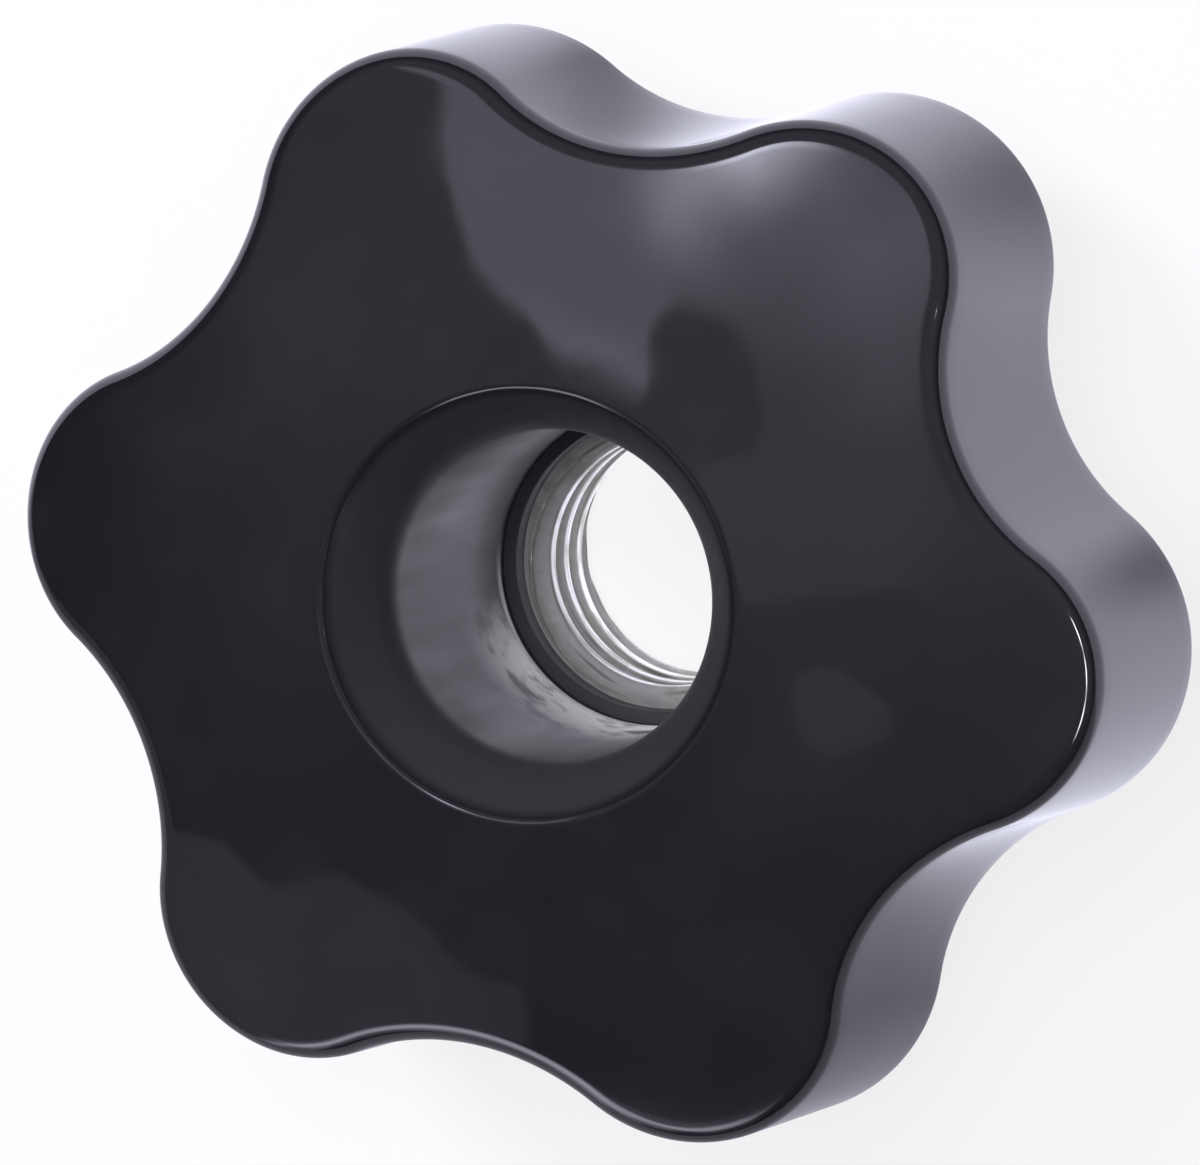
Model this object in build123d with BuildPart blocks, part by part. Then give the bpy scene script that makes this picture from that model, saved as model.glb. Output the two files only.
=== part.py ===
from build123d import *
import os
from math import asin, atan2, cos, degrees, radians, sin, sqrt, tan

# Star knob: a six-lobed phenolic grip with a hub behind it, moulded round a knurled steel
# insert. A screw comes in through the insert from behind; its end can run on into the
# counterbore in front, because the knob is open right through.
#
# Frame: +Z runs up the bore from the seat towards the domed front, with one lobe along +X.
# The origin is the centre of the seat, which is the insert's rear face. Millimetres.

os.makedirs("parts", exist_ok=True)

# ---------------------------------------------------------------- driving dimensions
# Grip, seen from the front
lobe_count = 6
knob_radius = 30.0  # axis to a lobe's tip, at the front rim
lobe_radius = 8.35  # round of each lobe
valley_radius = 12.9  # round of each finger valley
draft_angle = 3.15  # side walls widen towards the back, where the mould parts

# Grip, seen from the side
head_thickness = 17.0  # back face to the front rim, at a lobe's tip
crown_rise = 4.9  # front rim to the top of the dome, on the axis
front_edge_radius = 1.5
back_edge_bevel = 0.6

# Hub behind the grip
hub_length = 10.85
hub_radius = 14.2  # at its rear end
hub_draft_angle = 2.0
hub_root_bevel = 1.2
hub_edge_bevel = 0.6

# Opening through the front
mouth_radius = 11.3  # where the lead-in cone meets the dome
mouth_depth = 4.0  # depth of the lead-in cone
counterbore_radius = 8.75
mouth_edge_bevel = 0.15  # on each side of the mouth's edge
lip_thickness = 1.4  # plastic ledge over the front end of the insert
lip_radius = 8.05

# Steel insert, threaded 5/8 in - 11
insert_length = 8.7
insert_radius = 11.0  # over the knurl's crests
insert_proud = 0.5  # rear face stands this far behind the hub
minor_radius = 6.9  # bore before the thread is cut
countersink_radius = 8.05
countersink_angle = 60.0  # from the axis
collar_length = 1.4
collar_radius = 10.4  # inside the knurl, so that the collar stays plain
collar_chamfer = 0.3
knurl_count = 24
knurl_depth = 0.45
groove_width = 1.8
groove_radius = 9.6

# ---------------------------------------------------------------- worked-out places
hub_rear = insert_proud
head_back = hub_rear + hub_length
head_rim = head_back + head_thickness
crown_top = head_rim + crown_rise
crown_sphere = (knob_radius**2 + crown_rise**2) / (2 * crown_rise)
ledge_height = insert_length + lip_thickness


def dome_height(radius):
    """Height of the dome at this distance from the axis."""
    return crown_top - crown_sphere + sqrt(crown_sphere**2 - radius**2)


mouth_height = dome_height(mouth_radius)
lead_in_slope = mouth_depth / (mouth_radius - counterbore_radius)

# Each lobe's arc and each valley's arc meet at a common tangent, on the line of centres.
step = 360 / lobe_count
lobe_centre = knob_radius - lobe_radius
valley_centre = lobe_centre * cos(radians(step / 2)) + sqrt(
    (lobe_radius + valley_radius) ** 2 - (lobe_centre * sin(radians(step / 2))) ** 2
)
tangent_angle = degrees(
    atan2(
        valley_centre * sin(radians(step / 2)),
        valley_centre * cos(radians(step / 2)) - lobe_centre,
    )
)
flare = head_thickness * tan(radians(draft_angle))
hub_root = hub_radius + hub_length * tan(radians(hub_draft_angle))

# The rolled front rim is kept as three flats that touch the roll, because a fillet between
# a cone and a sphere meshes ten times as heavily. One chamfer cuts the rim, and a second
# cuts both of the edges that it leaves.
rim_turn = radians(90 - draft_angle) - asin(knob_radius / crown_sphere)
rim_bevel = front_edge_radius * (1 / cos(rim_turn / 2) - 1) / sin(rim_turn / 2)
rim_bevel_edge = front_edge_radius * (tan(rim_turn / 2) - tan(rim_turn / 8)) - rim_bevel

# Insert details that follow from its sizes
groove_middle = (collar_length + insert_length) / 2
knurl_side = knurl_depth * sqrt(2)  # a square on its corner cuts each V of the knurl
countersink_depth = (countersink_radius - minor_radius) / tan(radians(countersink_angle))

# ---------------------------------------------------------------- insert's outside
# Turned with a plain collar and a retaining groove, then knurled. The same body is taken
# out of the plastic, which is moulded round it.
with BuildPart() as insert_blank:
    with BuildSketch():
        Circle(insert_radius)
        with PolarLocations(insert_radius, knurl_count):
            Rectangle(knurl_side, knurl_side, rotation=45, mode=Mode.SUBTRACT)
    extrude(amount=insert_length)
    with BuildSketch(Plane.XZ):
        with Locations((groove_radius, groove_middle)):
            Rectangle(insert_radius, groove_width, align=(Align.MIN, Align.CENTER))
        with Locations((collar_radius, 0)):
            Rectangle(insert_radius, collar_length, align=(Align.MIN, Align.MIN))
    revolve(axis=Axis.Z, mode=Mode.SUBTRACT)
    chamfer(insert_blank.faces().sort_by(Axis.Z)[0].edges(), collar_chamfer)

# ---------------------------------------------------------------- knob body
with BuildPart() as knob_body:
    # Grip: the star outline at the back face, drawn in towards the front
    with BuildSketch(Plane.XY.offset(head_back)):
        with BuildLine():
            for lobe in range(lobe_count):
                lobe_direction = lobe * step
                valley_direction = lobe_direction + step / 2
                CenterArc(
                    Vector(lobe_centre, 0).rotate(Axis.Z, lobe_direction),
                    lobe_radius + flare,
                    lobe_direction - tangent_angle,
                    2 * tangent_angle,
                )
                CenterArc(
                    Vector(valley_centre, 0).rotate(Axis.Z, valley_direction),
                    valley_radius - flare,
                    lobe_direction + step + 180 - tangent_angle,
                    2 * tangent_angle - step,
                )
        make_face()
    extrude(amount=head_thickness + 2 * crown_rise, taper=draft_angle)

    # Dome: a shallow sphere that meets the lobes' tips at the rim
    with BuildSketch(Plane.XZ):
        with BuildLine():
            envelope_radius = knob_radius + 2 * flare
            envelope_height = dome_height(envelope_radius)
            RadiusArc((0, crown_top), (envelope_radius, envelope_height), crown_sphere)
            Polyline(
                (envelope_radius, envelope_height),
                (envelope_radius, hub_rear),
                (0, hub_rear),
                (0, crown_top),
            )
        make_face()
    revolve(axis=Axis.Z, mode=Mode.INTERSECT)
    chamfer(knob_body.faces().sort_by(Axis.Z)[-1].edges(), rim_bevel)
    chamfer(knob_body.faces().sort_by(Axis.Z)[-1].edges(), rim_bevel_edge)
    walls = knob_body.faces().filter_by(GeomType.CONE)
    chamfer([wall.edges().sort_by(Axis.Z)[-1] for wall in walls], rim_bevel_edge)
    chamfer(knob_body.faces().sort_by(Axis.Z)[0].edges(), back_edge_bevel)

    # Hub, drafted to its rear end and bevelled into the grip
    with BuildSketch(Plane.XZ):
        with BuildLine():
            Polyline(
                (0, head_back + hub_root_bevel),
                (hub_root + hub_root_bevel, head_back + hub_root_bevel),
                (hub_root + hub_root_bevel, head_back),
                (hub_root, head_back - hub_root_bevel),
                (hub_radius, hub_rear + hub_edge_bevel),
                (hub_radius - hub_edge_bevel, hub_rear),
                (0, hub_rear),
                close=True,
            )
        make_face()
    revolve(axis=Axis.Z)

    # Opening: lead-in cone, counterbore and the ledge over the insert
    with BuildSketch(Plane.XZ):
        with BuildLine():
            Polyline(
                (0, hub_rear),
                (lip_radius, hub_rear),
                (lip_radius, ledge_height),
                (counterbore_radius, ledge_height),
                (counterbore_radius, mouth_height - mouth_depth),
                (
                    mouth_radius - mouth_edge_bevel,
                    mouth_height - mouth_edge_bevel * lead_in_slope,
                ),
                (
                    mouth_radius + mouth_edge_bevel,
                    dome_height(mouth_radius + mouth_edge_bevel),
                ),
                (mouth_radius + mouth_edge_bevel, crown_top),
                (0, crown_top),
                close=True,
            )
        make_face()
    revolve(axis=Axis.Z, mode=Mode.SUBTRACT)

    # Pocket: the plastic closes on the insert's collar, knurl and groove
    add(insert_blank.part, mode=Mode.SUBTRACT)

knob_body.part.label = "knob_body"
export_step(knob_body.part, "parts/knob_body.step")

# ---------------------------------------------------------------- threaded insert
with BuildPart() as threaded_insert:
    add(insert_blank.part)
    with BuildSketch(Plane.XZ):
        with BuildLine():
            Polyline(
                (0, 0),
                (countersink_radius, 0),
                (minor_radius, countersink_depth),
                (minor_radius, insert_length - countersink_depth),
                (countersink_radius, insert_length),
                (0, insert_length),
                close=True,
            )
        make_face()
    revolve(axis=Axis.Z, mode=Mode.SUBTRACT)

threaded_insert.part.label = "threaded_insert"
export_step(threaded_insert.part, "parts/threaded_insert.step")
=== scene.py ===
"""Star knob: a glossy black six-lobed grip with a threaded steel insert in its hub."""

import math

import bmesh
import bpy
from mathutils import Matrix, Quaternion, Vector

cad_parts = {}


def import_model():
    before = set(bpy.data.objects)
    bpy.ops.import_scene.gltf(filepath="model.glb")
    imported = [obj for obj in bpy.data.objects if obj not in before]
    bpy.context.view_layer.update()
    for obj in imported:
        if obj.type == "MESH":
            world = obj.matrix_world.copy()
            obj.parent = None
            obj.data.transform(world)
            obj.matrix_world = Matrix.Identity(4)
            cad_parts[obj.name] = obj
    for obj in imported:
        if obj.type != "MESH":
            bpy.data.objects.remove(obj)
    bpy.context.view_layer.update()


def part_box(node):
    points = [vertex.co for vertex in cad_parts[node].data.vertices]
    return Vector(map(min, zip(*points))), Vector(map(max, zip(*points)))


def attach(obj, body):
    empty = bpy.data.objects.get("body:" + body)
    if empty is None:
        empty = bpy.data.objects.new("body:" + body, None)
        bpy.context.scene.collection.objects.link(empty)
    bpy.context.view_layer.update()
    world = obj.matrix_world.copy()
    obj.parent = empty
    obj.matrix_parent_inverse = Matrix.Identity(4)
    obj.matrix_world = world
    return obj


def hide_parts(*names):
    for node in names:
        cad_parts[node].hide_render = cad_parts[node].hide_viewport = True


MM = 0.001

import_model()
body_low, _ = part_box("knob_body")
insert_low, insert_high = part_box("threaded_insert")

# ---------------------------------------------------------------- sizes, as in the solids
LOBES = 6
KNOB_RADIUS = 30.0 * MM
LOBE_RADIUS = 8.35 * MM
VALLEY_RADIUS = 12.9 * MM
DRAFT = math.radians(3.15)
HEAD_THICKNESS = 17.0 * MM
CROWN_RISE = 4.9 * MM
FRONT_EDGE_RADIUS = 1.5 * MM
BACK_EDGE_RADIUS = 1.0 * MM
HUB_LENGTH = 10.85 * MM
HUB_RADIUS = 14.2 * MM
HUB_DRAFT = math.radians(2.0)
HUB_ROOT_RADIUS = 1.6 * MM
HUB_EDGE_RADIUS = 0.8 * MM
MOUTH_RADIUS = 11.3 * MM
MOUTH_DEPTH = 4.0 * MM
MOUTH_EDGE_RADIUS = 0.45 * MM
COUNTERBORE_RADIUS = 8.75 * MM
COUNTERBORE_EDGE_RADIUS = 5.0 * MM
LIP_THICKNESS = 1.4 * MM
LIP_RADIUS = 8.05 * MM
LEDGE_EDGE_RADIUS = 0.12 * MM

INSERT_LENGTH = insert_high[2] - insert_low[2]
INSERT_RADIUS = 11.0 * MM
COLLAR_LENGTH = 1.4 * MM
COLLAR_RADIUS = 10.4 * MM
COLLAR_CHAMFER = 0.3 * MM
KNURL_COUNT = 24
KNURL_DEPTH = 0.45 * MM
GROOVE_WIDTH = 1.8 * MM
GROOVE_RADIUS = 9.6 * MM
MINOR_RADIUS = 6.9 * MM
COUNTERSINK_RADIUS = 8.05 * MM
COUNTERSINK_ANGLE = math.radians(60.0)
THREAD_PITCH = 25.4 / 11 * MM
THREAD_MAJOR_RADIUS = 15.875 / 2 * MM

HUB_REAR = body_low[2]
HEAD_BACK = HUB_REAR + HUB_LENGTH
HEAD_RIM = HEAD_BACK + HEAD_THICKNESS
CROWN_TOP = HEAD_RIM + CROWN_RISE
CROWN_SPHERE = (KNOB_RADIUS**2 + CROWN_RISE**2) / (2 * CROWN_RISE)
LEDGE_HEIGHT = INSERT_LENGTH + LIP_THICKNESS

THREAD_TURNS = math.ceil(INSERT_LENGTH / THREAD_PITCH) + 2  # rows of thread, before trimming
THREAD_EDGE = 0.04 * MM  # softness of the crests and roots
ROOT_FLAT = 1 / 8  # flat of the thread's root, as a share of the pitch
FLANK_SLOPE = 1 / math.tan(math.radians(30.0))

AROUND = 480  # points round the knob, a multiple of the lobes
INSERT_AROUND = 240
ROWS_PER_TURN = 32
DOME_ROWS = 40
FRONT_EDGE_ROWS = 10
WALL_ROWS = 12
BACK_EDGE_ROWS = 8
BACK_FACE_ROWS = 8
WELD_DISTANCE = 0.002 * MM  # joins the strips' borders
SLIVER_LENGTH = 0.0005 * MM  # edges shorter than this are dissolved
SHARP_IN_PLASTIC = math.radians(28)  # edges that turn by more than this look sharp
SHARP_IN_STEEL = math.radians(40)

# ---------------------------------------------------------------- colours and light
BLACK = (0.0122, 0.0115, 0.0143)
BLACK_SMUDGED = (0.0150, 0.0136, 0.0168)
# Painted light: the mouth's black is lighter, standing in for the light bounced about inside the
# mouth
BLACK_LIT_IN_MOUTH = (0.0410, 0.0393, 0.0450)
# Partly dust, partly painted reflection and highlight, on the bore's lower wall
DUST_AND_SHEEN = (0.80, 0.79, 0.77)
STEEL_CLEAN = (0.90, 0.90, 0.88)
STEEL_SMUDGED = (0.50, 0.49, 0.45)
STEEL_GROOVES = (0.36, 0.36, 0.32)
STEEL_DARK_IN_ROOTS = (0.24, 0.235, 0.20)
SHEET = (0.95, 0.95, 0.95)
LAMP_WHITE = (0.97, 0.98, 1.07)
PHENOLIC_IOR = 1.6
PHENOLIC_RELIEF = 0.03 * MM  # depth of the fine unevenness that only shading shows
STEEL_RELIEF = 0.01 * MM

ROOM_LIGHT = 0.3  # even light on dull surfaces, beside the lamps'
SHEET_WHITE = 0.8  # share of the floor's white that no shadow dims
SHEET_WHITE_IN_GLOSS = 1.05  # the floor's brightness as the walls of the knob mirror it
# Painted shade on the floor, seen only in reflections: dimmer under the bore and on its dark side
SHEET_WHITE_IN_BORE = 0.55  # and right under the bore, as the bore mirrors it
SHEET_DARK_SIDE = 0.6  # what the walls miss of that brightness on the floor's dark side
COOLNESS = 0.18  # how much bluer than white the light on the object is
MOTTLE_SCALE = 5.0  # clouds to a unit of direction, in the room that gloss mirrors
RIPPLE = 0.145  # how far these clouds bend the borders of the cards

# Painted shadows, and one painted pool of light, on the floor as the walls mirror it: middle and
# radius in mm, added brightness
SHEET_PAINTED_PATCHES = (
    ((-0.5, 29.0), 6.0, 0.30),
    ((-7.5, 32.0), 4.5, -0.58),
    ((20.0, 28.5), 7.5, -0.52),
    ((32.3, 10.0), 4.5, -0.55),
)
SHEET_REACH = 2.0  # half the side of the floor, in metres

# The viewer: a point looked at, the direction from it, the distance, and the lens
AIM = (2.225 * MM, 1.109 * MM, HEAD_RIM - 1.2 * MM)
AZIMUTH = math.radians(27.09)
ELEVATION = math.radians(71.06)
ROLL = math.radians(-107.0)
DISTANCE = 420.32 * MM
LENS = 240.5
SENSOR_WIDTH = 36.0


# ---------------------------------------------------------------- node trees
class Field:
    """A socket of a node tree that can be used in plain sums."""

    def __init__(self, tree, socket):
        self.tree = tree
        self.socket = socket

    def node(self, kind, values, **settings):
        return add_node(self.tree, kind, values, **settings)

    def math(self, operation, *others):
        return self.node("ShaderNodeMath", [self, *others], operation=operation)

    def __add__(self, other):
        return self.math("ADD", other)

    def __radd__(self, other):
        return self.math("ADD", other)

    def __sub__(self, other):
        return self.math("SUBTRACT", other)

    def __rsub__(self, other):
        return self.node("ShaderNodeMath", [other, self], operation="SUBTRACT")

    def __mul__(self, other):
        return self.math("MULTIPLY", other)

    def __rmul__(self, other):
        return self.math("MULTIPLY", other)

    def __truediv__(self, other):
        return self.math("DIVIDE", other)

    def __neg__(self):
        return self.math("MULTIPLY", -1.0)


def add_node(tree, kind, values=(), **settings):
    """Adds a node, fills its inputs in order or by name, and returns its first output."""
    node = tree.nodes.new(kind)
    for name, value in settings.items():
        setattr(node, name, value)
    named = values.items() if isinstance(values, dict) else enumerate(values)
    for key, value in named:
        feed(value, node.inputs[key])
    return Field(tree, node.outputs[0])


def output(field, name):
    """Another output of the node that a Field comes from."""
    return Field(field.tree, field.socket.node.outputs[name])


def choose(condition, if_true, if_false):
    """if_true where condition is 1, if_false where it is 0."""
    return if_false + condition * (if_true - if_false)


def feed(value, socket):
    """Links a Field into a socket, or sets the socket to a plain value."""
    if isinstance(value, Field):
        value.tree.links.new(value.socket, socket)
    else:
        socket.default_value = value


def bell(*offsets):
    """1 where every offset is 0, and fading smoothly to 0 where one of them reaches about 2."""
    squares = offsets[0] * offsets[0]
    for offset in offsets[1:]:
        squares = squares + offset * offset
    return (squares * -1.0).math("EXPONENT")


class Vec:
    """A point or direction: three Fields, or numbers."""

    def __init__(self, x, y, z):
        self.x, self.y, self.z = x, y, z

    def __add__(self, other):
        return Vec(self.x + other.x, self.y + other.y, self.z + other.z)

    def __sub__(self, other):
        return Vec(self.x - other.x, self.y - other.y, self.z - other.z)

    def __mul__(self, k):
        return Vec(self.x * k, self.y * k, self.z * k)

    def length(self):
        return (self.x * self.x + self.y * self.y + self.z * self.z).math("SQRT")

    def unit(self):
        size = self.length()
        return Vec(self.x / size, self.y / size, self.z / size)

    def from_axis(self):
        """Distance from the z axis, which is the bore's."""
        return (self.x * self.x + self.y * self.y).math("SQRT")


def smooth_least(a, b, softness):
    return a.node("ShaderNodeMath", [a, b, softness], operation="SMOOTH_MIN")


def smooth_most(a, b, softness):
    return a.node("ShaderNodeMath", [a, b, softness], operation="SMOOTH_MAX")


def between(a, b, share):
    """The point at share of the way from a to b."""
    return a + (b - a) * share


def new_tree(name, sizes):
    """A geometry tree with one named input for each size, and these inputs as Fields."""
    tree = bpy.data.node_groups.new(name, "GeometryNodeTree")
    for key, value in sizes.items():
        kind = "NodeSocketInt" if isinstance(value, int) else "NodeSocketFloat"
        tree.interface.new_socket(name=key, in_out="INPUT", socket_type=kind)
    tree.interface.new_socket(name="Material", in_out="INPUT", socket_type="NodeSocketMaterial")
    tree.interface.new_socket(name="Geometry", in_out="OUTPUT", socket_type="NodeSocketGeometry")
    source = tree.nodes.new("NodeGroupInput")
    fields = {item.name: Field(tree, item) for item in source.outputs if item.name}
    return tree, fields


def strip(tree, across, rows, place):
    """A grid of across by rows cells, laid where place(u, v) says, with u and v from 0 to 1."""
    grid = add_node(
        tree,
        "GeometryNodeMeshGrid",
        {"Size X": 1.0, "Size Y": 1.0, "Vertices X": across + 1, "Vertices Y": rows + 1},
    )
    parts = add_node(tree, "ShaderNodeSeparateXYZ", [add_node(tree, "GeometryNodeInputPosition")])
    point = place(parts + 0.5, output(parts, "Y") + 0.5)
    position = add_node(tree, "ShaderNodeCombineXYZ", [point.x, point.y, point.z])
    return add_node(tree, "GeometryNodeSetPosition", {"Geometry": grid, "Position": position})


def direction(u):
    """The unit vector at share u of a turn about the bore."""
    angle = u * (2 * math.pi)
    return Vec(angle.math("COSINE"), angle.math("SINE"), 0.0)


def turned(tree, profile, across):
    """Strips between the stations (radius, height) of a turned profile.

    A radius may be a number, or a function of the share of a turn.
    """
    strips = []
    for (r0, z0), (r1, z1) in zip(profile, profile[1:]):
        def place(u, v, r0=r0, z0=z0, r1=r1, z1=z1):
            along = direction(u)
            start = r0(u) if callable(r0) else r0
            end = r1(u) if callable(r1) else r1
            radius = start + v * (end - start)
            return Vec(along.x * radius, along.y * radius, z0 + v * (z1 - z0))

        strips.append(strip(tree, across, 1, place))
    return strips


def finish_tree(tree, strips, material, sharp_angle):
    """Joins the strips into one closed skin, with its sharp edges marked."""
    join = tree.nodes.new("GeometryNodeJoinGeometry")
    for piece in strips:
        tree.links.new(piece.socket, join.inputs[0])
    whole = add_node(
        tree,
        "GeometryNodeMergeByDistance",
        {"Geometry": Field(tree, join.outputs[0]), "Distance": WELD_DISTANCE},
    )
    smooth = add_node(
        tree,
        "GeometryNodeSetShadeSmooth",
        {"Geometry": whole, "Shade Smooth": True},
        domain="FACE",
    )
    angle = add_node(tree, "GeometryNodeInputMeshEdgeAngle")
    sharp = add_node(
        tree,
        "GeometryNodeSetShadeSmooth",
        {
            "Geometry": smooth,
            "Selection": angle.math("GREATER_THAN", sharp_angle),
            "Shade Smooth": False,
        },
        domain="EDGE",
    )
    real = add_node(tree, "GeometryNodeRealizeInstances", {"Geometry": sharp})
    painted = add_node(tree, "GeometryNodeSetMaterial", {"Geometry": real, "Material": material})
    feed(painted, tree.nodes.new("NodeGroupOutput").inputs["Geometry"])


def make_piece(name, tree, sizes, material):
    """Runs a tree with these sizes and keeps the result as a plain mesh."""
    holder = bpy.data.objects.new(name + "_maker", bpy.data.meshes.new(name + "_maker"))
    bpy.context.scene.collection.objects.link(holder)
    modifier = holder.modifiers.new("maker", "NODES")
    modifier.node_group = tree
    for item in tree.interface.items_tree:
        if item.in_out == "INPUT":
            modifier[item.identifier] = material if item.name == "Material" else sizes[item.name]
    bpy.context.view_layer.update()
    made = holder.evaluated_get(bpy.context.evaluated_depsgraph_get())
    mesh = bpy.data.meshes.new_from_object(made)
    mesh.name = name
    bpy.data.objects.remove(holder)
    shell = bmesh.new()
    shell.from_mesh(mesh)
    bmesh.ops.dissolve_degenerate(shell, dist=SLIVER_LENGTH, edges=shell.edges)
    bmesh.ops.recalc_face_normals(shell, faces=shell.faces)
    shell.to_mesh(mesh)
    shell.free()
    piece = bpy.data.objects.new(name, mesh)
    bpy.context.scene.collection.objects.link(piece)
    return piece


def rounded(points, radii, steps=6):
    """A profile through points, each inner corner rounded to its radius, or sharp where 0."""
    stations = [points[0]]
    for before, corner, after, radius in zip(points, points[1:], points[2:], radii):
        if radius == 0:
            stations.append(corner)
            continue
        corner_at = Vector(corner)
        way_in = (Vector(before) - corner_at).normalized()
        way_out = (Vector(after) - corner_at).normalized()
        half = way_in.angle(way_out) / 2
        reach = radius / math.tan(half)
        centre = corner_at + (way_in + way_out).normalized() * (radius / math.sin(half))
        first = corner_at + way_in * reach - centre
        last = corner_at + way_out * reach - centre
        for step in range(steps + 1):
            spoke = first.slerp(last, step / steps)
            stations.append(tuple(centre + spoke.normalized() * radius))
    stations.append(points[-1])
    return stations


# ---------------------------------------------------------------- the threaded insert
def knurl_radius(u):
    """Radius over the straight knurl: crests, with a V cut at each step."""
    notch = u * float(KNURL_COUNT)
    aside = (notch - (notch + 0.5).math("FLOOR")).math("ABSOLUTE")
    to_arc = 2 * math.pi * INSERT_RADIUS / KNURL_COUNT
    depth = (KNURL_DEPTH - aside * to_arc).math("MAXIMUM", 0.0)
    return INSERT_RADIUS - depth


def insert_outside():
    """Stations up the insert's outside, from the collar's front to its front face."""
    groove_low = (COLLAR_LENGTH + INSERT_LENGTH - GROOVE_WIDTH) / 2
    groove_high = groove_low + GROOVE_WIDTH
    return [
        (COLLAR_RADIUS, COLLAR_LENGTH),
        (knurl_radius, COLLAR_LENGTH),
        (knurl_radius, groove_low),
        (GROOVE_RADIUS, groove_low),
        (GROOVE_RADIUS, groove_high),
        (knurl_radius, groove_high),
        (knurl_radius, INSERT_LENGTH),
    ]


def insert_tree():
    """A steel bush with a right-hand 60-degree thread that runs out in its countersinks."""
    sizes = {
        "Pitch": THREAD_PITCH,
        "Major Radius": THREAD_MAJOR_RADIUS,
        "Minor Radius": MINOR_RADIUS,
        "Countersink Radius": COUNTERSINK_RADIUS,
        "Length": INSERT_LENGTH,
        "Thread Edge": THREAD_EDGE,
    }
    tree, size = new_tree("threaded_insert", sizes)
    pitch = size["Pitch"]

    def thread(u, v):
        """Rows follow the helix, so that each keeps one place on the thread's profile."""
        phase = v * float(THREAD_TURNS)
        height = (phase - 1.0 + u) * pitch
        height = height.math("MAXIMUM", 0.0).math("MINIMUM", size["Length"])
        aside = (phase - (phase + 0.5).math("FLOOR")).math("ABSOLUTE") * pitch
        flank = size["Major Radius"] - (aside - pitch * (ROOT_FLAT / 2)) * FLANK_SLOPE
        soft = size["Thread Edge"]
        groove = smooth_least(flank, size["Major Radius"], soft)
        cut = smooth_most(groove, size["Minor Radius"], soft)
        steepness = math.tan(COUNTERSINK_ANGLE)
        rear_cone = size["Countersink Radius"] - height * steepness
        front_cone = size["Countersink Radius"] - (size["Length"] - height) * steepness
        radius = cut.math("MAXIMUM", rear_cone).math("MAXIMUM", front_cone)
        along = direction(u)
        return Vec(along.x * radius, along.y * radius, height)

    outside = [
        (COUNTERSINK_RADIUS, 0.0),
        (COLLAR_RADIUS - COLLAR_CHAMFER, 0.0),
        (COLLAR_RADIUS, COLLAR_CHAMFER),
        *insert_outside(),
        (COUNTERSINK_RADIUS, INSERT_LENGTH),
    ]
    strips = [strip(tree, INSERT_AROUND, THREAD_TURNS * ROWS_PER_TURN, thread)]
    strips += turned(tree, outside, INSERT_AROUND)
    finish_tree(tree, strips, size["Material"], SHARP_IN_STEEL)
    return tree, sizes


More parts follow.
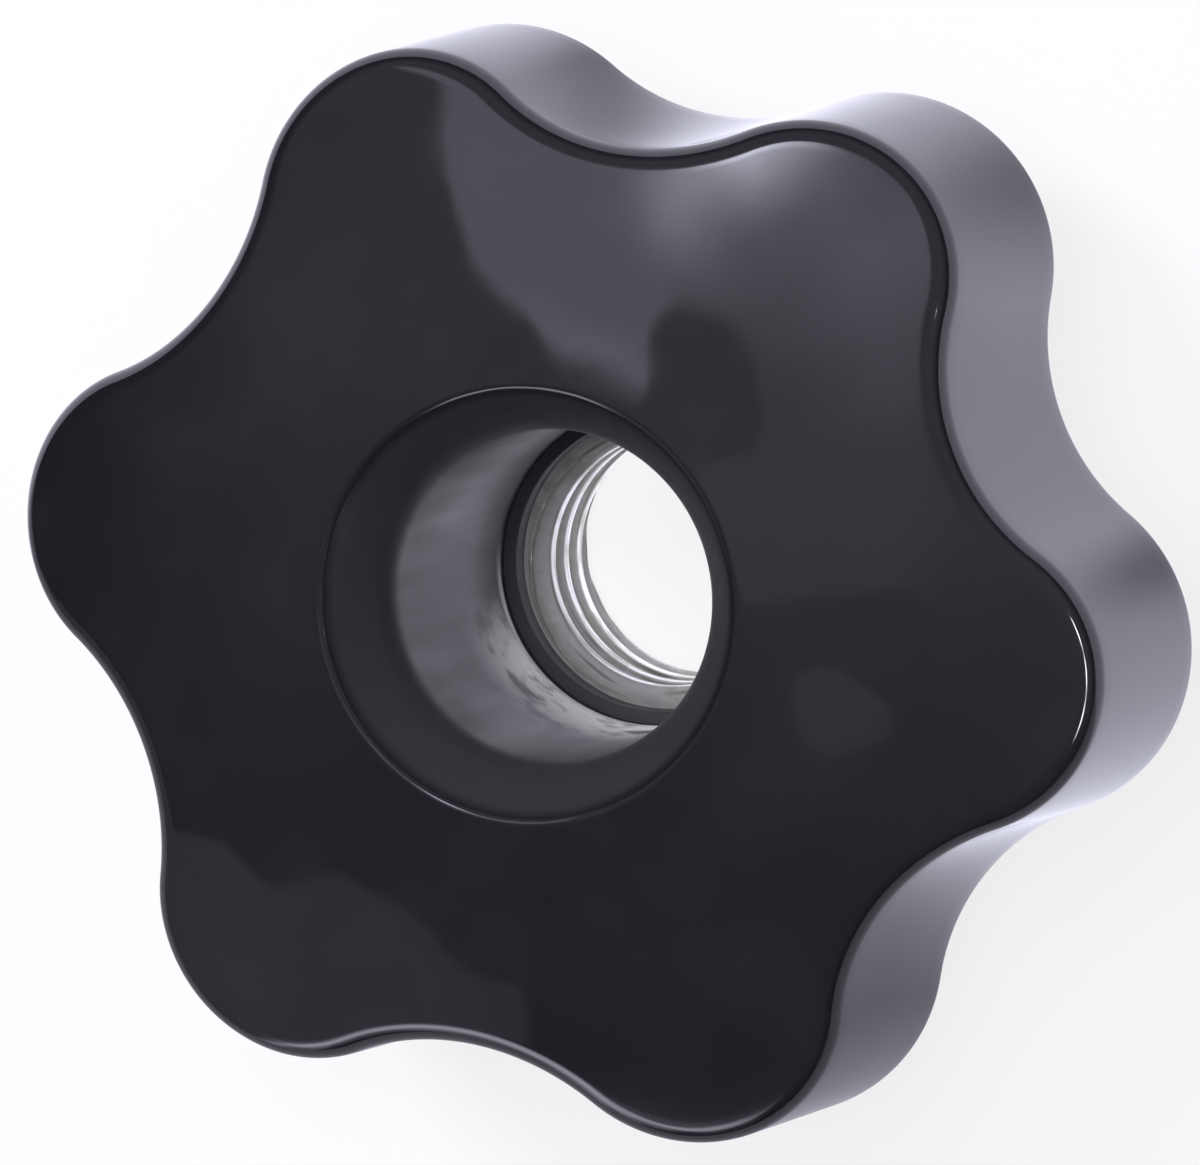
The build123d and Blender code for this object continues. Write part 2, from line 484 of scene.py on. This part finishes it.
# ---------------------------------------------------------------- the knob's body
def body_tree():
    """Six lobes on common tangents, drafted walls, rolled edges and a spherical dome."""
    sizes = {
        "Lobes": LOBES,
        "Knob Radius": KNOB_RADIUS,
        "Lobe Radius": LOBE_RADIUS,
        "Valley Radius": VALLEY_RADIUS,
        "Draft Slope": math.tan(DRAFT),
        "Front Edge Radius": FRONT_EDGE_RADIUS,
        "Back Edge Radius": BACK_EDGE_RADIUS,
        "Head Back": HEAD_BACK,
        "Head Rim": HEAD_RIM,
        "Crown Sphere": CROWN_SPHERE,
        "Crown Top": CROWN_TOP,
    }
    tree, size = new_tree("star_knob_body", sizes)
    lobe_radius, valley_radius = size["Lobe Radius"], size["Valley Radius"]

    # Arcs: a lobe's centre, a valley's centre, and the angle at which they share a tangent
    half_step = size["Lobes"].math("POWER", -1.0) * math.pi
    lobe_centre = size["Knob Radius"] - lobe_radius
    reach = lobe_radius + valley_radius
    aside = lobe_centre * half_step.math("SINE")
    beyond = (reach * reach - aside * aside).math("SQRT")
    valley_centre = lobe_centre * half_step.math("COSINE") + beyond
    tangent = (valley_centre * half_step.math("SINE")).math(
        "ARCTAN2", valley_centre * half_step.math("COSINE") - lobe_centre
    )
    lobe_arc = lobe_radius * tangent
    valley_arc = valley_radius * (tangent - half_step)
    lobe_share = lobe_arc / (lobe_arc + valley_arc) * 0.5

    def outline(u):
        """A point of the star at the rim's height, and the outward direction there."""
        turn = u * size["Lobes"]
        lobe = (turn + 0.5).math("FLOOR")
        along = turn - lobe
        side = along.math("SIGN")
        part = along.math("ABSOLUTE")
        on_lobe = part.math("LESS_THAN", lobe_share)
        into_valley = (part - lobe_share) / (0.5 - lobe_share)
        on_valley = tangent + into_valley * (half_step - tangent)
        lean = choose(on_lobe, part / lobe_share * tangent, on_valley)
        lobe_angle = lobe * half_step * 2.0
        out_angle = lobe_angle + side * lean
        centre_angle = lobe_angle + side * half_step * (1.0 - on_lobe)
        centre = choose(on_lobe, lobe_centre, valley_centre)
        radius = choose(on_lobe, lobe_radius, -valley_radius)
        out = Vec(out_angle.math("COSINE"), out_angle.math("SINE"), 0.0)
        spoke = Vec(centre_angle.math("COSINE"), centre_angle.math("SINE"), 0.0)
        return spoke * centre + out * radius, out

    slope = size["Draft Slope"]
    secant = (slope * slope + 1.0).math("SQRT")

    def wall_normal(out):
        return Vec(out.x / secant, out.y / secant, slope / secant)

    def at_height(point, out, inset, height):
        """The wall's point at a height, moved in from the wall by inset."""
        shift = (size["Head Rim"] - height) * slope - inset * secant
        return Vec(point.x + out.x * shift, point.y + out.y * shift, height)

    sphere_centre = size["Crown Top"] - size["Crown Sphere"]

    def front_ball(u):
        """Centre of the ball that rolls along the front rim, touching both wall and dome."""
        point, out = outline(u)
        radius = size["Front Edge Radius"]
        inner = size["Crown Sphere"] - radius
        height = size["Head Rim"] - radius
        for _ in range(3):
            centre = at_height(point, out, radius, height)
            level = centre.x * centre.x + centre.y * centre.y
            height = sphere_centre + (inner * inner - level).math("SQRT")
        return Vec(centre.x, centre.y, height), out

    def back_ball(u):
        point, out = outline(u)
        radius = size["Back Edge Radius"]
        return at_height(point, out, radius, size["Head Back"] + radius), out

    def from_dome(centre):
        return Vec(centre.x, centre.y, centre.z - sphere_centre).unit()

    def dome(u, v):
        """Between the mouth's edge and the front rim, on the sphere."""
        centre, _ = front_ball(u)
        rim = centre + from_dome(centre) * size["Front Edge Radius"]
        mouth = direction(u) * dome_start
        x = mouth.x + (rim.x - mouth.x) * v
        y = mouth.y + (rim.y - mouth.y) * v
        sphere = size["Crown Sphere"]
        return Vec(x, y, sphere_centre + (sphere * sphere - x * x - y * y).math("SQRT"))

    def front_edge(u, v):
        centre, out = front_ball(u)
        spoke = between(from_dome(centre), wall_normal(out), v).unit()
        return centre + spoke * size["Front Edge Radius"]

    def wall(u, v):
        front, out = front_ball(u)
        back, _ = back_ball(u)
        normal = wall_normal(out)
        top = front + normal * size["Front Edge Radius"]
        bottom = back + normal * size["Back Edge Radius"]
        return between(top, bottom, v)

    def back_edge(u, v):
        centre, out = back_ball(u)
        spoke = between(wall_normal(out), Vec(0.0, 0.0, -1.0), v)
        return centre + spoke.unit() * size["Back Edge Radius"]

    def back_face(u, v):
        rim, _ = back_ball(u)
        root = direction(u) * root_start
        x = rim.x + (root.x - rim.x) * v
        y = rim.y + (root.y - rim.y) * v
        return Vec(x, y, size["Head Back"])

    # Turned stretches: hub outside, and everything inside the opening
    hub_root = HUB_RADIUS + HUB_LENGTH * math.tan(HUB_DRAFT)
    hub = rounded(
        [
            (hub_root + 2 * HUB_ROOT_RADIUS, HEAD_BACK),
            (hub_root, HEAD_BACK),
            (HUB_RADIUS, HUB_REAR),
            (COLLAR_RADIUS, HUB_REAR),
        ],
        [HUB_ROOT_RADIUS, HUB_EDGE_RADIUS],
    )
    root_start = hub[0][0]

    def crown(radius):
        return CROWN_TOP - CROWN_SPHERE + math.sqrt(CROWN_SPHERE**2 - radius**2)

    mouth_height = crown(MOUTH_RADIUS)
    dome_start = MOUTH_RADIUS + 1.2 * MOUTH_EDGE_RADIUS  # clear of the rounded edge
    pocket = [(COLLAR_RADIUS, HUB_REAR), *insert_outside(), (LIP_RADIUS, INSERT_LENGTH)]
    opening = rounded(
        [
            (LIP_RADIUS, INSERT_LENGTH),
            (LIP_RADIUS, LEDGE_HEIGHT),
            (COUNTERBORE_RADIUS, LEDGE_HEIGHT),
            (COUNTERBORE_RADIUS, mouth_height - MOUTH_DEPTH),
            (MOUTH_RADIUS, mouth_height),
            (dome_start, crown(dome_start)),
        ],
        [LEDGE_EDGE_RADIUS, 0, COUNTERBORE_EDGE_RADIUS, MOUTH_EDGE_RADIUS],
    )
    strips = [
        strip(tree, AROUND, DOME_ROWS, dome),
        strip(tree, AROUND, FRONT_EDGE_ROWS, front_edge),
        strip(tree, AROUND, WALL_ROWS, wall),
        strip(tree, AROUND, BACK_EDGE_ROWS, back_edge),
        strip(tree, AROUND, BACK_FACE_ROWS, back_face),
    ]
    for profile in (hub, pocket, opening):
        strips += turned(tree, profile, AROUND)
    finish_tree(tree, strips, size["Material"], SHARP_IN_PLASTIC)
    return tree, sizes


# ---------------------------------------------------------------- materials
def smooth_step(value, start, end):
    """0 below start, 1 above end, and a soft ramp between; start may be the greater."""
    return value.node(
        "ShaderNodeMapRange",
        {"Value": value, "From Min": start, "From Max": end, "To Min": 0.0, "To Max": 1.0},
        interpolation_type="SMOOTHSTEP",
    )


def noise(tree, place, scale, detail=2.0, roughness=0.5):
    return add_node(
        tree,
        "ShaderNodeTexNoise",
        {"Vector": place, "Scale": scale, "Detail": detail, "Roughness": roughness},
    )


def joined(tree, x, y, z):
    return add_node(tree, "ShaderNodeCombineXYZ", [x, y, z])


def split(tree, vector):
    parts = add_node(tree, "ShaderNodeSeparateXYZ", [vector])
    return Vec(parts, output(parts, "Y"), output(parts, "Z"))


def colour_mix(tree, share, first, second):
    node = add_node(
        tree, "ShaderNodeMix", {"Factor": share}, data_type="RGBA", blend_type="MIX"
    ).socket.node
    for socket, colour in ((node.inputs[6], first), (node.inputs[7], second)):
        feed(colour if isinstance(colour, Field) else (*colour, 1), socket)
    return Field(tree, node.outputs[2])


def handled_surface():
    """Shader group: the slow waviness, fine peel and smudges of a finished surface."""
    tree = bpy.data.node_groups.new("handled_surface", "ShaderNodeTree")
    for name, kind in (
        ("Place", "NodeSocketVector"),
        ("Waves", "NodeSocketFloat"),
        ("Peel", "NodeSocketFloat"),
        ("Peel Share", "NodeSocketFloat"),
        ("Smudges", "NodeSocketFloat"),
    ):
        tree.interface.new_socket(name=name, in_out="INPUT", socket_type=kind)
    for name in ("Height", "Smudge"):
        tree.interface.new_socket(name=name, in_out="OUTPUT", socket_type="NodeSocketFloat")
    source = tree.nodes.new("NodeGroupInput")
    value = {item.name: Field(tree, item) for item in source.outputs if item.name}
    waves = noise(tree, value["Place"], value["Waves"], detail=0.0)
    peel = noise(tree, value["Place"], value["Peel"], detail=1.0)
    smudge = noise(tree, value["Place"], value["Smudges"], roughness=0.6)
    sink = tree.nodes.new("NodeGroupOutput")
    feed(waves + peel * value["Peel Share"], sink.inputs["Height"])
    feed(smooth_step(smudge, 0.42, 0.66), sink.inputs["Smudge"])
    return tree


def place_group(tree, group, values):
    """Puts a shader group into a tree; returns its outputs by name."""
    node = tree.nodes.new("ShaderNodeGroup")
    node.node_tree = group
    for name, value in values.items():
        feed(value, node.inputs[name])
    return {item.name: Field(tree, item) for item in node.outputs}


def new_material(name):
    """A material with its tree, its shader and the piece's own coordinates."""
    material = bpy.data.materials.new(name)
    material.use_nodes = True
    tree = material.node_tree
    place = output(add_node(tree, "ShaderNodeTexCoord"), "Object")
    return material, tree, tree.nodes["Principled BSDF"], place


def relief(tree, shader, height, depth):
    """Bumps a shader by a height between 0 and 1, depth metres deep."""
    bump = add_node(tree, "ShaderNodeBump", {"Strength": 1.0, "Distance": depth, "Height": height})
    feed(output(bump, "Normal"), shader.inputs["Normal"])


def plastic(surface):
    """Moulded near-black phenolic: a polished outside, and a duller bore, lighter in its mouth by
    painted light, with dust and painted reflection on its lower wall.
    """
    material, tree, shader, place = new_material("phenolic")
    at = split(tree, place)
    radius = at.from_axis()
    marks = place_group(
        tree,
        surface,
        {"Place": place, "Waves": 110.0, "Peel": 900.0, "Peel Share": 0.035, "Smudges": 140.0},
    )
    in_bore = smooth_step(radius, MOUTH_RADIUS, COUNTERBORE_RADIUS + 0.3 * MM)
    drawn = noise(tree, joined(tree, at.x * 700.0, at.y * 700.0, at.z * 90.0), 1.0, detail=1.0)
    shade = colour_mix(tree, marks["Smudge"], BLACK, BLACK_SMUDGED)
    # Painted light: a lighter black in the mouth, for the light bounced about inside it
    mouth_painted_light = smooth_step(radius, MOUTH_RADIUS, MOUTH_RADIUS - 0.6 * MM)
    shade = colour_mix(tree, mouth_painted_light, shade, BLACK_LIT_IN_MOUTH)

    # Partly dust, partly painted reflection on the lower wall of the bore, strongest along the
    # corner at the ledge, where it is a painted highlight
    ledge = HUB_REAR + LEDGE_HEIGHT
    dust_and_sheen = smooth_step(at.z, ledge + 9.0 * MM, ledge + 0.5 * MM)
    dust_and_sheen = dust_and_sheen * smooth_step(at.y, -2.5 * MM, -7.0 * MM)
    dust_and_sheen = dust_and_sheen * smooth_step(noise(tree, place, 420.0, roughness=0.65), 0.32, 0.58)
    # Painted highlight, partly dust, along the corner where the wall meets the ledge
    corner = smooth_step(at.z, ledge + 0.9 * MM, ledge + 0.3 * MM)
    corner = corner * smooth_step(at.y, 0.5 * MM, -4.5 * MM) * 0.85
    dust_and_sheen = dust_and_sheen.math("MAXIMUM", corner) * in_bore * smooth_step(at.z, ledge, ledge + 0.1 * MM)
    shade = colour_mix(tree, dust_and_sheen, shade, DUST_AND_SHEEN)

    roughness = marks["Smudge"] * 0.03 + 0.045
    deep = smooth_step(at.z, ledge + 6.0 * MM, ledge)
    roughness = roughness + in_bore * (0.22 + drawn * 0.2 + deep * 0.25)
    feed(shade, shader.inputs["Base Color"])
    feed(roughness, shader.inputs["Roughness"])
    shader.inputs["IOR"].default_value = PHENOLIC_IOR
    relief(tree, shader, marks["Height"], PHENOLIC_RELIEF)
    return material


def steel(surface):
    """Turned steel: fine rings from the tool, and darker in the thread's roots."""
    material, tree, shader, place = new_material("steel")
    at = split(tree, place)
    radius = at.from_axis()
    marks = place_group(
        tree,
        surface,
        {"Place": place, "Waves": 260.0, "Peel": 1500.0, "Peel Share": 0.2, "Smudges": 420.0},
    )
    rings = noise(
        tree, joined(tree, radius * 9000.0, at.z * 9000.0 + at.x * 200.0, at.y * 200.0), 1.0
    )
    grooves = noise(
        tree, joined(tree, radius * 3200.0, at.z * 1300.0 + at.x * 90.0, at.y * 90.0), 1.0
    )
    root = smooth_step(radius, MINOR_RADIUS + 0.15 * MM, THREAD_MAJOR_RADIUS)
    shade = colour_mix(tree, marks["Smudge"], STEEL_CLEAN, STEEL_SMUDGED)
    shade = colour_mix(tree, smooth_step(grooves, 0.5, 0.66), shade, STEEL_GROOVES)
    shade = colour_mix(tree, root * 0.5, shade, STEEL_DARK_IN_ROOTS)
    feed(shade, shader.inputs["Base Color"])
    feed(marks["Smudge"] * 0.2 + rings * 0.10 + 0.25, shader.inputs["Roughness"])
    feed(0.6 - marks["Smudge"] * 0.3, shader.inputs["Metallic"])
    relief(tree, shader, rings * 0.5 + marks["Height"] * 0.5, STEEL_RELIEF)
    return material


# ---------------------------------------------------------------- stage
def camera():
    """Looks down on the dome, about 19 degrees off the bore."""
    data = bpy.data.cameras.new("camera")
    data.lens = LENS
    data.sensor_width = SENSOR_WIDTH
    data.clip_start = 0.01
    viewer = bpy.data.objects.new("camera", data)
    bpy.context.scene.collection.objects.link(viewer)
    away = Vector(
        (
            math.cos(ELEVATION) * math.cos(AZIMUTH),
            math.cos(ELEVATION) * math.sin(AZIMUTH),
            math.sin(ELEVATION),
        )
    )
    viewer.location = Vector(AIM) + away * DISTANCE
    viewer.rotation_mode = "QUATERNION"
    viewer.rotation_quaternion = (-away).to_track_quat("-Z", "Y") @ Quaternion((0, 0, 1), ROLL)
    bpy.context.scene.camera = viewer


def cool_white(tree, share):
    """White where share is 0, and a little cooler where it is 1."""
    return joined(tree, 1.0, 1.0, share * COOLNESS + 1.0)


def world():
    """A white sheet to the eye, even light on what is dull, and a dim room in what is glossy.

    Glossy surfaces see the room by direction: a large soft card overhead with its brightest
    part away from the viewer, a weak card behind the viewer, and walls that darken downwards.
    """
    scene = bpy.context.scene
    scene.world = bpy.data.worlds.new("studio")
    scene.world.use_nodes = True
    tree = scene.world.node_tree
    background = tree.nodes["Background"]

    look = output(add_node(tree, "ShaderNodeTexCoord"), "Generated")
    mottle = noise(tree, look, MOTTLE_SCALE, detail=1.0, roughness=0.6)
    vector_math = "ShaderNodeVectorMath"
    ripple = [output(mottle, "Color"), (0.5, 0.5, 0.5)]
    ripple = add_node(tree, vector_math, ripple, operation="SUBTRACT")
    ripple = add_node(tree, vector_math, {0: ripple, "Scale": RIPPLE}, operation="SCALE")
    bent = add_node(tree, vector_math, [look, ripple], operation="ADD")
    at, high = split(tree, bent), split(tree, look).z

    # Walls and ceiling of the room
    room = smooth_step(at.y, -0.5, 0.2) * 0.2 + mottle * 0.12
    room = room * smooth_step(at.x, -0.88, -0.58) * smooth_step(high, 0.1, 0.5)

    # The large card: a bright left part with a slanting edge, and a wide dimmer right part
    along = at.x * 0.848 + at.y * 0.53
    left = smooth_step(along, -0.238, -0.218) * smooth_step(at.y, 0.09, 0.15)
    left = left * smooth_step(at.x, -0.15, -0.19) * (1.4 - smooth_step(at.y, 0.11, 0.22) * 0.55)
    right = smooth_step(at.x, -0.19, -0.15) * smooth_step(at.x, 0.26, 0.12)
    right = right * smooth_step(at.y, -0.095, -0.07) * (
        smooth_step(at.y, 0.14, 0.42) * (mottle * 1.2 + 0.1) + 0.18
    )
    gap_x, gap_y = (at.x + 0.14) / 0.075, (at.y - 0.14) / 0.12
    gap = smooth_step(gap_x * gap_x + gap_y * gap_y, 0.75, 1.2)
    glow = bell((at.x + 0.15) / 0.068, (at.y - 0.47) / 0.09) * (mottle * 4.0 + 7.2)
    glow = glow * smooth_step(along, -0.25, -0.2)
    card = ((left + right) * gap + glow) * smooth_step(at.y, 0.57, 0.47)

    # A weak card and a brighter strip behind the viewer, and a small lit spot
    weak = smooth_step(at.x * -0.262 + at.y * -0.965, 0.600, 0.613)
    weak = weak * smooth_step(at.x, -0.23, -0.26)
    behind = bell((at.y + 0.84) / 0.075) * smooth_step(at.x, 0.3, 0.0) * 3.6
    behind = behind * smooth_step(at.x, -0.55, -0.35)
    spot = smooth_step(Vec(at.x - 0.11, at.y + 0.2, 0.0).from_axis(), 0.045, 0.03)
    seen_in_gloss = room + card + weak * 0.2 + behind + spot * 0.17

    path = tree.nodes.new("ShaderNodeLightPath")
    glossy = Field(tree, path.outputs["Is Glossy Ray"])
    diffuse = Field(tree, path.outputs["Is Diffuse Ray"])
    plain = 1.0 - diffuse * (1.0 - ROOM_LIGHT)
    feed(choose(glossy, seen_in_gloss, plain), background.inputs["Strength"])
    feed(cool_white(tree, glossy + diffuse), background.inputs["Color"])
    scene.world.cycles.sampling_method = "NONE"  # an importance map costs more than it saves


def mirrored_floor(at):
    """The floor's brightness as glossy surfaces mirror it, with painted shade: soft painted
    shadows and a painted pool of light, a darker side, and dimmer under the bore.
    """
    dark_side = smooth_step(at.y, -12.0 * MM, -24.0 * MM)
    brightness = dark_side * -SHEET_DARK_SIDE + SHEET_WHITE_IN_GLOSS
    for (x, y), reach, added in SHEET_PAINTED_PATCHES:
        patch = bell((at.x * 1000.0 - x) / reach, (at.y * 1000.0 - y) / reach)
        brightness = brightness + patch * added
    radius = at.from_axis()
    in_bore = smooth_step(radius, 1.0 * MM, 4.5 * MM) * (1.0 - SHEET_WHITE_IN_BORE)
    in_bore = in_bore + SHEET_WHITE_IN_BORE
    return choose(smooth_step(radius, 13.0 * MM, 11.0 * MM), in_bore, brightness)


def sheet():
    """White paper: mostly its own white to the eye, so that the knob's shadow is faint."""
    material, tree, shader, place = new_material("floor")
    shader.inputs["Base Color"].default_value = (*SHEET, 1)
    shader.inputs["Roughness"].default_value = 0.6
    shader.inputs["Specular IOR Level"].default_value = 0.0
    path = add_node(tree, "ShaderNodeLightPath")
    glossy = output(path, "Is Glossy Ray")
    seen = output(path, "Is Camera Ray") + output(path, "Is Transmission Ray")
    own_white = add_node(tree, "ShaderNodeEmission", {"Color": (1, 1, 1, 1)})
    lit = Field(tree, shader.outputs[0])
    to_eye = add_node(
        tree, "ShaderNodeMixShader", [seen.math("MINIMUM", 1.0) * SHEET_WHITE, lit, own_white]
    )
    mirror = add_node(
        tree,
        "ShaderNodeEmission",
        {"Color": cool_white(tree, glossy), "Strength": mirrored_floor(split(tree, place))},
    )
    both = add_node(tree, "ShaderNodeMixShader", [glossy, to_eye, mirror])
    feed(both, tree.nodes["Material Output"].inputs["Surface"])
    return material


def floor():
    """A level sheet under the knob, far wider than the view."""
    mesh = bpy.data.meshes.new("floor")
    far = SHEET_REACH
    corners = [(-far, -far, 0), (far, -far, 0), (far, far, 0), (-far, far, 0)]
    mesh.from_pydata(corners, [], [(0, 1, 2, 3)])
    mesh.materials.append(sheet())
    ground = bpy.data.objects.new("floor", mesh)
    bpy.context.scene.collection.objects.link(ground)


def softbox(name, place, aim, size, energy, in_gloss=False, spread=180.0):
    """A rectangular lamp at a place, turned to a point and unseen by the camera."""
    data = bpy.data.lights.new(name, "AREA")
    data.shape = "RECTANGLE"
    data.size, data.size_y = size
    data.energy = energy
    data.spread = math.radians(spread)
    data.color = LAMP_WHITE
    lamp = bpy.data.objects.new(name, data)
    bpy.context.scene.collection.objects.link(lamp)
    lamp.location = place
    lamp.rotation_mode = "QUATERNION"
    lamp.rotation_quaternion = (Vector(aim) - lamp.location).to_track_quat("-Z", "Y")
    lamp.visible_glossy = in_gloss
    lamp.visible_camera = False


def lamps():
    """A key lamp, one overhead, a weak one under the bore, and a glint on the rim of one lobe."""
    middle = (0.0, 0.0, HEAD_BACK)
    softbox("key", (-0.22, 0.212, 0.49), middle, (0.14, 0.14), 1.6)
    softbox("overhead", (0.05, 0.12, 0.56), middle, (0.25, 0.25), 1.3)
    softbox("under the bore", (0, 0, 1.0 * MM), middle, (0.014, 0.014), 0.0015)

    # Three lamps in an arc, the only ones mirrored, draw one line of light along the lobe
    lobe = Vector((KNOB_RADIUS - 1.0 * MM, -1.5 * MM, HEAD_RIM))
    level, height = 0.15, 0.12
    for turn in (-15.0, 0.0, 15.0):
        aside = math.radians(turn)
        away = Vector((level * math.cos(aside), level * math.sin(aside), height))
        softbox("glint", lobe + away, lobe, (0.045, 0.012), 0.0003, in_gloss=True, spread=14.0)


camera()
world()
floor()
lamps()

surface = handled_surface()
tree, sizes = body_tree()
grip = make_piece("moulded_knob", tree, sizes, plastic(surface))
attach(grip, "root")
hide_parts("knob_body")

tree, sizes = insert_tree()
bush = make_piece("threaded_bush", tree, sizes, steel(surface))
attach(bush, "root")
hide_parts("threaded_insert")

bpy.context.scene.view_settings.view_transform = "Standard"
